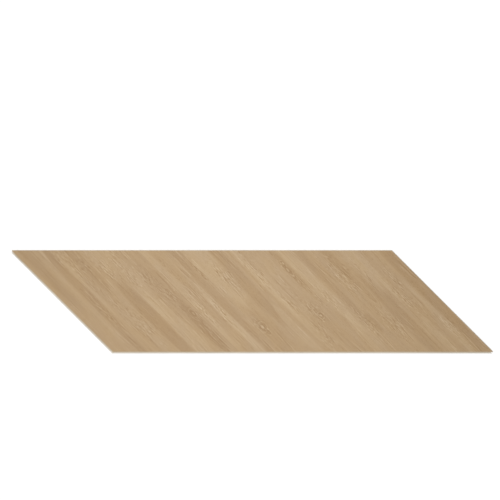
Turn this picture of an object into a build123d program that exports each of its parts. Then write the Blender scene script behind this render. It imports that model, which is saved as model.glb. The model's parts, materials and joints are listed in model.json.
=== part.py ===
from build123d import *
import math
import os

# A rigid vinyl floor plank for a chevron floor: one board with slanted ends, whose
# printed slats lie parallel to the ends. A folding click joint is milled along all
# four sides. The front side and the left end carry the groove and the long lower lip,
# and the rear side and the right end carry the tongue that drops into them.
# Millimetres, face up, origin on the underside below the middle of the face.

# Board
SLAT_COUNT = 9           # whole printed slats along the board
SLAT_WIDTH = 90.0        # square across one slat
PLANK_WIDTH = 305.0      # square across the board, from face edge to face edge
END_ANGLE = 45.0         # degrees between an end and a long side
THICKNESS = 5.0
ARRIS_EASE = 0.15        # small bevel round the face

# Grooved sides
UPPER_LIP = 1.5          # face down to the roof of the groove
LOWER_LIP = 1.7          # underside up to the floor of the groove
LIP_REACH = 5.0          # lower lip beyond the face edge
GROOVE_DEPTH = 1.6       # groove behind the face edge
ROOF_SLOPE = 8.0         # degrees by which the roof falls towards the back
HEEL_WIDTH = 1.2         # heel at the end of the lip, bevel included
HEEL_RISE = 0.7          # heel above the floor of the groove
HEEL_BEVEL = 0.3         # upper outer edge of the heel
FOOT_BEVEL = 0.4         # lower outer edge of the lip
LOCK_ANGLE = 60.0        # degrees, locking face of the heel from level
RECESS_DEPTH = 0.35      # recess before the heel, below the floor of the groove
RECESS_WIDTH = 1.3       # level bottom of the recess
RECESS_RAMP = 30.0       # degrees, slope down into the recess

# Tongued sides, as gaps in the closed joint
FIT_CLEARANCE = 0.08     # between the working faces
TONGUE_GAP = 0.2         # before the tip of the tongue
LIP_GAP = 0.3            # past the end of the lower lip
TONGUE_ROUND = 0.35      # radius on both corners of the tip
ROUND_LIMIT = 0.45       # most of the tip's thickness that one radius may take

# Milling allowance, all of it cut away
CUT_MARGIN = 1.0

long_side = SLAT_COUNT * SLAT_WIDTH / math.sin(math.radians(END_ANGLE))
stock = LIP_REACH + CUT_MARGIN
cutter_edge = stock + CUT_MARGIN
cutter_overrun = stock / math.tan(math.radians(END_ANGLE / 2)) + CUT_MARGIN

# Heights in the joint, from the underside
roof = THICKNESS - UPPER_LIP
floor = LOWER_LIP
heel_top = floor + HEEL_RISE
recess_floor = floor - RECESS_DEPTH


def run(rise, angle):
    """Level distance over which a slope at this angle rises so far."""
    return rise / math.tan(math.radians(angle))


def drop(distance):
    """Fall of the groove's roof over this distance towards its back."""
    return distance * math.tan(math.radians(ROOF_SLOPE))


# Distances in the joint, outward from the face edge of a grooved side
heel_inner = LIP_REACH - HEEL_WIDTH
lock_foot = heel_inner - run(heel_top - recess_floor, LOCK_ANGLE)
recess_inner = lock_foot - RECESS_WIDTH
ramp_top = recess_inner - run(RECESS_DEPTH, RECESS_RAMP)


def waste(section):
    """Sketch of what is milled off a side: X outward from the face edge, Y up."""
    above = THICKNESS + CUT_MARGIN
    points = [
        (cutter_edge, above),
        (-ARRIS_EASE - CUT_MARGIN, above),
        (0, THICKNESS - ARRIS_EASE),
        *section,
        (cutter_edge, -CUT_MARGIN),
    ]
    return make_face(Polyline(*points, close=True))


def groove_waste():
    """Groove, recess and heel, down the end of the lower lip."""
    return waste([
        (0, roof),
        (-GROOVE_DEPTH, roof - drop(GROOVE_DEPTH)),
        (-GROOVE_DEPTH, floor),
        (ramp_top, floor),
        (recess_inner, recess_floor),
        (lock_foot, recess_floor),
        (heel_inner, heel_top),
        (LIP_REACH - HEEL_BEVEL, heel_top),
        (LIP_REACH, heel_top - HEEL_BEVEL),
        (LIP_REACH, FOOT_BEVEL),
        (LIP_REACH - FOOT_BEVEL - CUT_MARGIN, -CUT_MARGIN),
    ])


def tongue_waste():
    """Tongue, and the pawl and rebate that close over a neighbour's lower lip."""
    reach = GROOVE_DEPTH - TONGUE_GAP
    top = roof - FIT_CLEARANCE
    sole = floor + FIT_CLEARANCE
    pawl_sole = recess_floor + FIT_CLEARANCE
    rebate_top = heel_top + FIT_CLEARANCE
    lock_shift = run(FIT_CLEARANCE, LOCK_ANGLE) - FIT_CLEARANCE
    rebate_end = LIP_REACH + LIP_GAP
    tip_top = top - drop(reach)
    sketch = waste([
        (0, top),
        (reach, tip_top),
        (reach, sole),
        (-ramp_top - FIT_CLEARANCE, sole),
        (-recess_inner - FIT_CLEARANCE, pawl_sole),
        (-lock_foot - lock_shift, pawl_sole),
        (-heel_inner - lock_shift, rebate_top),
        (-rebate_end, rebate_top),
        (-rebate_end, -CUT_MARGIN),
    ])
    tip_corners = sketch.vertices().group_by(Axis.X)[-2]
    return fillet(tip_corners, min(TONGUE_ROUND, ROUND_LIMIT * (tip_top - sole)))


def cutter(sketch, start, end):
    """The waste of one side as a solid that runs out past both of its corners."""
    outward = (end - start).normalized().cross(Vector(0, 0, 1))
    across = Plane((start + end) / 2, x_dir=outward, z_dir=outward.cross(Vector(0, 0, 1)))
    half_length = (end - start).length / 2 + cutter_overrun
    return extrude(across * sketch, amount=half_length, both=True)


def build_plank():
    """The slanted blank, milled along its four sides one after the other."""
    half_long = long_side / 2
    half_wide = PLANK_WIDTH / 2
    lean = run(half_wide, END_ANGLE)
    front_left = Vector(lean - half_long, -half_wide)
    front_right = Vector(lean + half_long, -half_wide)
    rear_right = Vector(half_long - lean, half_wide)
    rear_left = Vector(-half_long - lean, half_wide)

    face = make_face(Polyline(front_left, front_right, rear_right, rear_left, close=True))
    plank = extrude(offset(face, stock, kind=Kind.INTERSECTION), THICKNESS)
    plank -= cutter(groove_waste(), front_left, front_right)
    plank -= cutter(groove_waste(), rear_left, front_left)
    plank -= cutter(tongue_waste(), front_right, rear_right)
    plank -= cutter(tongue_waste(), rear_right, rear_left)
    # The rebate cuts a chip of heel loose at each sharp corner, and the chip falls away.
    board = plank.solids().sort_by(SortBy.VOLUME)[-1]
    board.label = "plank"
    return board


os.makedirs("parts", exist_ok=True)
export_step(build_plank(), "parts/plank.step")
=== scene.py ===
import json
import math

import bpy
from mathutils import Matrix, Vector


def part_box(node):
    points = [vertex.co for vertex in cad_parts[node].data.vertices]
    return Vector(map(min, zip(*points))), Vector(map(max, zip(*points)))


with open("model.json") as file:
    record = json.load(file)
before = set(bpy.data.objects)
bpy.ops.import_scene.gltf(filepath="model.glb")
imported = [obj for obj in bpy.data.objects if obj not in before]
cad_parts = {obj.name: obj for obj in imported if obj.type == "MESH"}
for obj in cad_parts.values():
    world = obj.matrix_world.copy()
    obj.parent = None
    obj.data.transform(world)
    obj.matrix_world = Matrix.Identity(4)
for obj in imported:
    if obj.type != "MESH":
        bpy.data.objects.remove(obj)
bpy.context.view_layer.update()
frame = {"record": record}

# Lengths are in metres, and small ones are written in millimetres
MM = 0.001

# Sizes from the frame
mounts = {mount["name"]: mount for mount in frame["record"]["mounts"]}
HALF_WIDE = -mounts["front_groove"]["pos_m"][1]
HALF_LONG = -mounts["left_groove"]["pos_m"][0]
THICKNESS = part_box("plank")[1][2]

# Printed slats, parallel to the ends, which slant at 45 degrees, and the faint line beside each joint
SLATS = 9
DIAGONAL = math.sqrt(0.5)
SLAT = 2 * HALF_LONG * DIAGONAL / SLATS
SEAM = 2.0 * MM

# Printed film on the face, and the depth of the grain pressed into it
FILM = 0.3 * MM
RELIEF = 0.14 * MM

# Roughness of the core and of the level face, how much smoother raised grain is, and gloss
CORE_ROUGHNESS = 0.72
FACE_ROUGHNESS = 0.6
RAISED_POLISH = 0.2
GLOSS = 0.3

# Colours in display values, from dark to light
OAK = [(159, 129, 92), (178, 150, 114), (197, 173, 139)]
CORE = [(190, 180, 164), (212, 203, 187), (225, 218, 205)]

# Tints that the print varies between
GREYER = (0.992, 0.997, 1.018)
YELLOWER = (1.008, 1.003, 0.982)

# Each slat's noise starts at a place drawn at random: a number that sets the draws, and their range
DRAW_SEED = 3.7
DRAW_RANGE = 100.0

# How far the grain sways across a slat, in long bends and in short ones
DRIFT = 14 * MM
WAVER = 5 * MM

# Tone of the print, from nought to one: its level before any layer, and the share of each layer
BASE_TONE = 0.528
STREAK_AND_END_SHADE_SHARE = 0.42
KNOT_SHARE = 0.8
FLAME_SHARE = 0.13
SEAM_SHARE = 0.08
FIBRE_SHARE = 0.26
DASH_SHARE = -0.32

# Shares of the fine lines: what their patches add, and what shows everywhere
BRUSHED_SHARES = (0.25, 0.02)
PORE_SHARES = (0.23, 0.02)
PAIR_SHARES = (0.29, 0.03)

# Soft changes of tone: width and length of the noise in millimetres, detail, shift and share
CLOUDS = [
    (30, 300, 1.0, 31, 0.12),
    (26, 60, 2.0, 33, 0.14),
    (9, 150, 2.0, 37, 0.21),
]

# Broad streaks, and one band of painted shade along the right end: slat, place across and along
# it, half width and half length, in millimetres, and how much lighter or darker they are
STREAKS_AND_END_SHADE = [
    (0, 24, 100, 13, 200, -0.38), (0, 47, 230, 8, 260, 0.10),
    (0, 68, 300, 12, 270, -0.46), (0, 88, 150, 7, 190, 0.30),
    (1, 34, 60, 14, 160, -0.42), (1, 76, 90, 16, 120, 0.34),
    (1, 70, 380, 18, 190, -0.56), (1, 25, 340, 10, 140, 0.08),
    (2, 14, 120, 20, 190, 0.22), (2, 14, 370, 24, 170, 0.28),
    (2, 62, 300, 22, 180, -0.22), (2, 66, 400, 13, 110, -0.45),
    (3, 5, 150, 14, 260, 0.36), (3, 29, 200, 7, 260, -0.08),
    (3, 49, 370, 10, 190, 0.44), (3, 68, 260, 12, 260, -0.32),
    (4, 24, 90, 32, 170, 0.40), (4, 66, 190, 16, 190, -0.38),
    (4, 20, 370, 22, 90, -0.26), (4, 84, 410, 14, 100, 0.34),
    (5, 21, 90, 9, 200, 0.46), (5, 56, 180, 26, 160, 0.18),
    (5, 72, 350, 20, 110, -0.08), (5, 24, 350, 9, 120, 0.30),
    (6, 38, 150, 17, 210, 0.40), (6, 70, 150, 9, 230, -0.30),
    (6, 8, 90, 12, 80, -0.40), (6, 38, 400, 18, 100, 0.22),
    (6, 79, 385, 9, 40, -0.42),
    (7, 35, 90, 10, 170, -0.38), (7, 74, 120, 16, 140, 0.36),
    (7, 60, 340, 18, 190, -0.38), (7, 30, 350, 9, 110, 0.10),
    (8, 6, 60, 12, 140, 0.36), (8, 50, 350, 9, 170, 0.38),
    # The last slat's band at 76 across, dark all along the right end, is painted shade
    (8, 76, 230, 15, 260, -0.56), (8, 12, 390, 12, 110, 0.24),
]

# Small knots: slat, place across and along it, half width and half length, in millimetres
KNOTS = [
    (4, 12, 338, 7, 10),
    (4, 15, 362, 3, 7),
    (6, 7, 88, 4, 14),
    (6, 11, 66, 3, 8),
    (5, 71, 347, 5, 7),
    (3, 83, 172, 2, 14),
    (2, 72, 340, 4, 10),
]

# Flames of nested arches, in the same order
FLAMES = [
    (1, 60, 90, 16, 70),
    (2, 58, 200, 20, 110),
    (3, 24, 120, 14, 90),
    (4, 40, 170, 18, 80),
    (5, 62, 240, 18, 110),
    (6, 60, 330, 18, 110),
    (7, 34, 250, 20, 100),
    (8, 30, 300, 16, 100),
]

# Patches of open pores, in the same order
PORE_PATCHES = [
    (0, 82, 90, 9, 60), (0, 70, 330, 10, 90),
    (1, 9, 85, 15, 120), (1, 34, 90, 10, 60), (1, 74, 170, 12, 60),
    (1, 22, 250, 12, 50), (1, 32, 350, 22, 70),
    (2, 22, 90, 14, 70), (2, 48, 165, 14, 40), (2, 64, 250, 16, 50), (2, 68, 400, 14, 90),
    (3, 8, 260, 10, 70), (3, 82, 170, 6, 60), (3, 45, 300, 8, 80),
    (4, 38, 150, 16, 50), (4, 12, 335, 12, 40),
    (5, 24, 110, 12, 90), (5, 32, 250, 9, 60), (5, 66, 330, 14, 60), (5, 40, 390, 16, 60),
    (6, 8, 130, 10, 110), (6, 34, 240, 10, 60), (6, 66, 370, 14, 60),
    (7, 22, 130, 20, 80), (7, 28, 340, 22, 60), (7, 72, 180, 10, 60),
    (8, 12, 220, 10, 60), (8, 36, 150, 10, 50), (8, 60, 380, 12, 60),
]

# Light: its colour, the strength of the world, and the place, side and watts of a square lamp
WHITE = (1.0, 1.0, 1.0)
AMBIENT = 0.45
LAMP_FOOT = (-0.15, 0.03, 0.0)
LAMP_HEIGHT = 1.9
LAMP_SIDE = 0.9
LAMP_WATTS = 22

# Floor: its side, a small drop below the board, its colour, and a glow that grows over a run from
# the lamp's foot, as the lamp's light falls off
FLOOR_SIDE = 30
FLOOR_DROP = 0.2 * MM
FLOOR_COLOUR = (0.8, 0.8, 0.8)
GLOW_NEAR = 0.2
GLOW_FAR = 0.64
GLOW_RUN = 2.2

# Camera's lens and sensor in millimetres, and the photo's frame in pixels: its side, and the height
# and middle of the row that the board is
LENS = 85
SENSOR = 36
PHOTO = 500
ROW_HEIGHT_PX = 101.21
FACE_CENTRE_PX = (252.3, 301.2)


def linear(red, green, blue):
    """Shader colour for a colour written in display values up to 255."""
    def channel(value):
        value /= 255
        return value / 12.92 if value <= 0.04045 else ((value + 0.055) / 1.055) ** 2.4
    return tuple(channel(value) for value in (red, green, blue))


class Graph:
    """Short calls for the nodes of a material or a world."""

    def __init__(self, owner):
        owner.use_nodes = True
        self.owner = owner
        self.nodes = owner.node_tree.nodes
        self.links = owner.node_tree.links
        self.nodes.clear()

    def feed(self, socket, value):
        if isinstance(value, bpy.types.NodeSocket):
            self.links.new(value, socket)
        elif socket.type == "RGBA":
            socket.default_value = (*value, 1.0)
        else:
            socket.default_value = value

    def node(self, kind, inputs=None, **settings):
        node = self.nodes.new(kind)
        for name, value in settings.items():
            setattr(node, name, value)
        for socket, value in (inputs or {}).items():
            self.feed(node.inputs[socket], value)
        return node

    def math(self, operation, *values):
        return self.node("ShaderNodeMath", dict(enumerate(values)), operation=operation).outputs[0]

    def add(self, first, second):
        return self.math("ADD", first, second)

    def sub(self, first, second):
        return self.math("SUBTRACT", first, second)

    def mul(self, first, second):
        return self.math("MULTIPLY", first, second)

    def muladd(self, value, factor, offset):
        return self.math("MULTIPLY_ADD", value, factor, offset)

    def total(self, *values):
        result = values[0]
        for value in values[1:]:
            result = self.add(result, value)
        return result

    def layered(self, base, *layers):
        """The base plus every layer times its share."""
        result = base
        for layer, share in layers:
            result = self.muladd(layer, share, result)
        return result

    def vector(self, x, y, z=0.0):
        return self.node("ShaderNodeCombineXYZ", {0: x, 1: y, 2: z}).outputs[0]

    def noise(self, vector, detail, roughness):
        """Noise with cells one unit wide, centred on nought."""
        inputs = {"Vector": vector, "Scale": 1.0, "Detail": detail, "Roughness": roughness}
        return self.sub(self.node("ShaderNodeTexNoise", inputs).outputs[0], 0.5)

    def remap(self, value, low, high, to_low=0.0, to_high=1.0, smooth=True):
        node = self.node("ShaderNodeMapRange",
                         {0: value, 1: low, 2: high, 3: to_low, 4: to_high},
                         interpolation_type="SMOOTHSTEP" if smooth else "LINEAR")
        return node.outputs[0]

    def mix(self, factor, first, second, blend="MIX"):
        node = self.node("ShaderNodeMix", data_type="RGBA", blend_type=blend)
        self.feed(node.inputs[0], factor)
        self.feed(node.inputs[6], first)
        self.feed(node.inputs[7], second)
        return node.outputs[2]

    def ramp(self, factor, colours):
        """Colour from the first at nought, through the second at a half, to the third at one."""
        dark, middle, light = [(*linear(*colour), 1.0) for colour in colours]
        node = self.node("ShaderNodeValToRGB", {0: factor})
        elements = node.color_ramp.elements
        elements[0].color = dark
        elements[1].color = light
        elements.new(0.5).color = middle
        return node.outputs[0]

    def seen(self):
        """One for rays from the camera, from gloss and through glass, and nought for light."""
        rays = self.node("ShaderNodeLightPath").outputs
        bent = self.math("MAXIMUM", rays["Is Glossy Ray"], rays["Is Transmission Ray"])
        return self.math("MAXIMUM", rays["Is Camera Ray"], bent)

    def output(self, shader, kind="ShaderNodeOutputMaterial"):
        self.node(kind, {0: shader.outputs[0]})
        return self.owner


class Slats:
    """Coordinates of the printed slats, and noise that is stretched along them.

    index counts the slats from the left end. inset runs across a slat from its left joint, and
    across is inset swayed as grown wood is. along runs down the slat from where that joint meets
    the rear side. All but index are in metres.
    """

    def __init__(self, graph, x, y):
        self.graph = graph
        half_run = SLAT * SLATS / 2
        from_end = graph.muladd(graph.add(x, y), DIAGONAL, half_run)
        down = graph.mul(graph.sub(x, y), DIAGONAL)
        self.index = graph.math("FLOOR", graph.math("DIVIDE", from_end, SLAT))
        joint = graph.mul(self.index, SLAT)
        self.inset = graph.sub(from_end, joint)
        self.along = graph.add(graph.sub(down, joint), half_run + 2 * HALF_WIDE * DIAGONAL)
        draw = graph.node("ShaderNodeTexWhiteNoise", {"W": graph.add(self.index, DRAW_SEED)},
                          noise_dimensions="1D")
        self.start = graph.mul(draw.outputs["Value"], DRAW_RANGE)

        # The sway is noise too, and is read before it is added
        self.across = self.inset
        drift = graph.mul(self.grain(200, 380, detail=1.0, shift=11), DRIFT)
        waver = graph.mul(self.grain(14, 90, shift=17), WAVER)
        self.across = graph.total(self.inset, drift, waver)
        self.spot = graph.vector(self.across, self.along)

    def grain(self, width, length, detail=2.0, roughness=0.5, shift=0.0, aside=0.0):
        """Noise with cells of this width and length in millimetres, centred on nought.

        shift keeps the noise of one layer apart from that of the others, and aside reads it that
        many millimetres further across.
        """
        vector = self.graph.vector(
            self.graph.muladd(self.across, 1 / (width * MM), aside / width),
            self.graph.math("DIVIDE", self.along, length * MM),
            self.graph.add(self.start, shift),
        )
        return self.graph.noise(vector, detail, roughness)

    def ridges(self, width, length, detail, roughness, shift):
        """Light and dark lines side by side, as on fine ridges lit from one side."""
        left = self.grain(width, length, detail, roughness, shift)
        right = self.grain(width, length, detail, roughness, shift, aside=width * 0.6)
        return self.graph.remap(self.graph.sub(left, right), -0.2, 0.2, -1.0, 1.0)

    def placed(self, across, along, half_width, half_length):
        """Coordinates from a place on a slat, one on the rim of an oval of this size."""
        return self.graph.node("ShaderNodeVectorMath", {
            0: self.spot,
            1: (1 / (half_width * MM), 1 / (half_length * MM), 0.0),
            2: (-across / half_width, -along / half_length, 0.0),
        }, operation="MULTIPLY_ADD").outputs[0]

    def reach(self, *oval):
        """Distance from the middle of an oval on a slat, one on its rim."""
        node = self.graph.node("ShaderNodeVectorMath", {0: self.placed(*oval)}, operation="LENGTH")
        return node.outputs["Value"]

    def only(self, number, value):
        """The value on one slat, and nought on the others."""
        here = self.graph.math("COMPARE", self.index, float(number), 0.1)
        return self.graph.mul(here, value)


def on_slat(marks, number):
    """The marks of one slat, without its number."""
    return [mark for slat, *mark in marks if slat == number]


def streak_and_end_shade_tone(slats):
    """The broad streaks, and the band of painted shade along the right end, with sides that are crisp
    in places and soft in others.
    """
    graph = slats.graph
    softness = graph.remap(slats.grain(30, 130, detail=1.0, shift=19), -0.12, 0.12, 0.08, 0.42)
    outer = graph.add(1.0, softness)
    inner = graph.sub(1.0, softness)
    tones = []
    for number in range(SLATS):
        tone = 0.0
        for *oval, strength in on_slat(STREAKS_AND_END_SHADE, number):
            tone = graph.muladd(graph.remap(slats.reach(*oval), outer, inner), strength, tone)
        tones.append(slats.only(number, tone))
    return graph.total(*tones)


def knot_tone(slats):
    """Dark knots with a paler heart and a few rings around them."""
    graph = slats.graph
    ragged = graph.mul(slats.grain(6, 14, detail=1.0, shift=59), 0.9)
    tones = []
    for number, *oval in KNOTS:
        reach = graph.add(slats.reach(*oval), ragged)
        dark = graph.remap(reach, 1.25, 0.85)
        heart = graph.remap(reach, 0.8, 0.4)
        waves = graph.math("SINE", graph.mul(reach, 6.0))
        rings = graph.mul(waves, graph.remap(reach, 3.4, 1.2))
        tone = graph.layered(0.0, (dark, -0.7), (heart, 1.2), (rings, -0.25))
        tones.append(slats.only(number, tone))
    return graph.total(*tones)


def flame_tone(slats):
    """Thin nested arches, as where the growth rings run out of the face."""
    graph = slats.graph
    waver = graph.mul(slats.grain(9, 34, shift=23), 2.4)
    tones = []
    for number, across, along, half_width, half_length in FLAMES:
        placed = slats.placed(across, along, half_width, half_length)
        aside, down = graph.node("ShaderNodeSeparateXYZ", {0: placed}).outputs[:2]
        arches = graph.layered(waver, (graph.mul(aside, aside), 5.0), (down, 3.0))
        line = graph.remap(graph.math("PINGPONG", arches, 0.5), 0.05, 0.3, -1.0, 0.4)
        room = graph.remap(slats.reach(across, along, half_width * 1.3, half_length), 1.0, 0.5)
        tones.append(slats.only(number, graph.mul(line, room)))
    return graph.total(*tones)


def pore_show(slats):
    """Where the pores lie open: one in the patches, which fray at their rims, and nought elsewhere."""
    graph = slats.graph
    fray = graph.mul(slats.grain(10, 30, shift=53), 3.4)
    shows = []
    for number in range(SLATS):
        show = 0.0
        for oval in on_slat(PORE_PATCHES, number):
            reach = graph.add(slats.reach(*oval), fray)
            show = graph.math("MAXIMUM", show, graph.remap(reach, 1.2, 0.4))
        shows.append(slats.only(number, show))
    return graph.total(*shows)


def line_tone(slats):
    """Brushed lines that come and go, and pores and pairs of light and dark lines in their patches. The
    brushed lines and the pairs are painted light and shade, as on ridges lit from one side, and are
    pressed in as relief too.
    """
    graph = slats.graph
    show = pore_show(slats)
    busy = graph.remap(slats.grain(20, 120, detail=1.0, shift=43), -0.047, 0.113)
    breaks = graph.remap(slats.grain(9, 60, detail=1.0, shift=47), -0.06, 0.1)
    # Brushed lines and pairs are painted light and shade of ridges lit from one side
    brushed = slats.ridges(4.0, 110, detail=3.0, roughness=0.66, shift=41)
    pores = slats.grain(3.0, 13, detail=4.0, roughness=0.7, shift=67)
    pores = graph.remap(pores, -0.15, 0.15, -1.0, 0.8)
    pairs = slats.ridges(3.4, 24, detail=4.0, roughness=0.7, shift=73)
    return graph.layered(
        0.0,
        (brushed, graph.muladd(graph.mul(busy, breaks), *BRUSHED_SHARES)),
        (pores, graph.muladd(show, *PORE_SHARES)),
        (pairs, graph.muladd(show, *PAIR_SHARES)),
    )


def fibre_tone(slats):
    """Fine fibres, and short dark dashes that are denser in bands along the slat."""
    graph = slats.graph
    fibres = slats.grain(0.45, 16, roughness=0.6, shift=107)
    dashes = graph.remap(slats.grain(0.5, 7, detail=1.0, shift=101), 0.06, 0.15)
    bands = graph.remap(slats.grain(5, 160, detail=1.0, shift=103), -0.1, 0.1, 0.15, 1.0)
    return graph.layered(0.0, (fibres, FIBRE_SHARE), (graph.mul(dashes, bands), DASH_SHARE))


def print_layers(slats):
    """Tone of the oak print, about a half on the whole, and the relief pressed along its grain."""
    graph = slats.graph
    relief = graph.add(line_tone(slats), fibre_tone(slats))
    clouds = [(slats.grain(width, length, detail, shift=shift), share)
              for width, length, detail, shift, share in CLOUDS]
    tone = graph.layered(
        BASE_TONE,
        # The streaks hold a band of painted shade along the right end
        (streak_and_end_shade_tone(slats), STREAK_AND_END_SHADE_SHARE),
        (knot_tone(slats), KNOT_SHARE),
        (flame_tone(slats), FLAME_SHARE),
        *clouds,
        (graph.remap(slats.inset, SEAM, SEAM / 4), SEAM_SHARE),
    )
    # The relief's lines join the tone too, bringing the painted light and shade of its ridges into the
    # colour
    return graph.add(tone, relief), relief


def print_colour(slats, tone):
    """Colours of the print, a little yellower or greyer from place to place."""
    graph = slats.graph
    warmth = graph.remap(slats.grain(40, 110, shift=97), -0.15, 0.15)
    tint = graph.mix(warmth, GREYER, YELLOWER)
    return graph.mix(1.0, graph.ramp(tone, OAK), tint, blend="MULTIPLY")


def core_layers(graph, x, y, z):
    """Colour and relief of the mineral-filled core, as pressed below and as milled at the sides."""
    def grain(long, wide, high, shift, detail=2.0):
        vector = graph.vector(
            graph.math("DIVIDE", x, long * MM),
            graph.math("DIVIDE", y, wide * MM),
            graph.muladd(z, 1 / (high * MM), shift),
        )
        return graph.noise(vector, detail, roughness=0.6)

    clouds = grain(160, 70, 20, shift=3)
    rolling = grain(900, 14, 20, shift=5)
    grit = grain(1.1, 1.1, 1.1, shift=7)
    milling = grain(90, 90, 0.25, shift=9, detail=1.0)
    tone = graph.layered(0.5, (clouds, 0.5), (rolling, 0.5), (grit, 0.7), (milling, 0.4))
    relief = graph.layered(0.0, (grit, 0.6), (milling, 0.5))
    return graph.ramp(tone, CORE), relief


def plank_material():
    """Oak print on the film of the face, and the bare core at the milled sides and below."""
    graph = Graph(bpy.data.materials.new("plank_oak_print"))
    place = graph.node("ShaderNodeTexCoord").outputs["Object"]
    x, y, z = graph.node("ShaderNodeSeparateXYZ", {0: place}).outputs
    slats = Slats(graph, x, y)
    tone, print_relief = print_layers(slats)
    core_colour, core_relief = core_layers(graph, x, y, z)

    on_face = graph.math("GREATER_THAN", z, THICKNESS - FILM)
    off_face = graph.sub(1.0, on_face)
    height = graph.add(graph.mul(on_face, print_relief), graph.mul(off_face, core_relief))
    bump = graph.node("ShaderNodeBump", {"Strength": 1.0, "Distance": RELIEF, "Height": height})
    polish = graph.muladd(print_relief, RAISED_POLISH, CORE_ROUGHNESS - FACE_ROUGHNESS)
    return graph.output(graph.node("ShaderNodeBsdfPrincipled", {
        "Base Color": graph.mix(on_face, core_colour, print_colour(slats, tone)),
        "Roughness": graph.sub(CORE_ROUGHNESS, graph.mul(on_face, polish)),
        "Specular IOR Level": GLOSS,
        "Normal": bump.outputs[0],
    }))


def floor_material():
    """Pale floor that the camera sees as white wherever the plank doesn't shade it."""
    graph = Graph(bpy.data.materials.new("floor_white"))
    diffuse = graph.node("ShaderNodeBsdfDiffuse", {"Color": FLOOR_COLOUR})
    place = graph.node("ShaderNodeTexCoord").outputs["Object"]
    away = graph.node("ShaderNodeVectorMath", {0: place, 1: LAMP_FOOT}, operation="DISTANCE")
    strength = graph.remap(away.outputs["Value"], 0.0, GLOW_RUN, GLOW_NEAR, GLOW_FAR, smooth=False)
    glow = graph.node("ShaderNodeEmission", {"Color": WHITE, "Strength": strength})
    both = graph.node("ShaderNodeAddShader", {0: diffuse.outputs[0], 1: glow.outputs[0]})
    return graph.output(graph.node("ShaderNodeMixShader", {
        0: graph.seen(),
        1: diffuse.outputs[0],
        2: both.outputs[0],
    }))


def dress_plank():
    plank = bpy.data.objects["plank"]
    plank.data.materials.clear()
    plank.data.materials.append(plank_material())


def make_floor():
    bpy.ops.mesh.primitive_plane_add(size=FLOOR_SIDE, location=(0, 0, -FLOOR_DROP))
    floor = bpy.context.object
    floor.name = "floor"
    floor.data.materials.append(floor_material())


def make_lights():
    """Even white light all round, and a soft lamp over the board. Seen directly, the world is white."""
    graph = Graph(bpy.data.worlds.new("studio"))
    strength = graph.muladd(graph.seen(), 1.0 - AMBIENT, AMBIENT)
    sky = graph.node("ShaderNodeBackground", {"Color": WHITE, "Strength": strength})
    bpy.context.scene.world = graph.output(sky, "ShaderNodeOutputWorld")
    lamp = bpy.data.lights.new("softbox", "AREA")
    lamp.shape = "SQUARE"
    lamp.size = LAMP_SIDE
    lamp.energy = LAMP_WATTS
    holder = bpy.data.objects.new("softbox", lamp)
    holder.location = (LAMP_FOOT[0], LAMP_FOOT[1], LAMP_HEIGHT)
    bpy.context.collection.objects.link(holder)


def make_camera():
    """Camera that looks straight down, with the face where the photo shows its third row."""
    metres_per_px = 2 * HALF_WIDE / ROW_HEIGHT_PX
    camera = bpy.data.cameras.new("camera")
    camera.lens = LENS
    camera.sensor_width = SENSOR
    distance = PHOTO * metres_per_px * LENS / SENSOR
    holder = bpy.data.objects.new("camera", camera)
    holder.location = (
        (PHOTO / 2 - FACE_CENTRE_PX[0]) * metres_per_px,
        (FACE_CENTRE_PX[1] - PHOTO / 2) * metres_per_px,
        THICKNESS + distance,
    )
    bpy.context.collection.objects.link(holder)
    bpy.context.scene.camera = holder


dress_plank()
make_floor()
make_lights()
make_camera()
bpy.context.scene.view_settings.view_transform = "Standard"
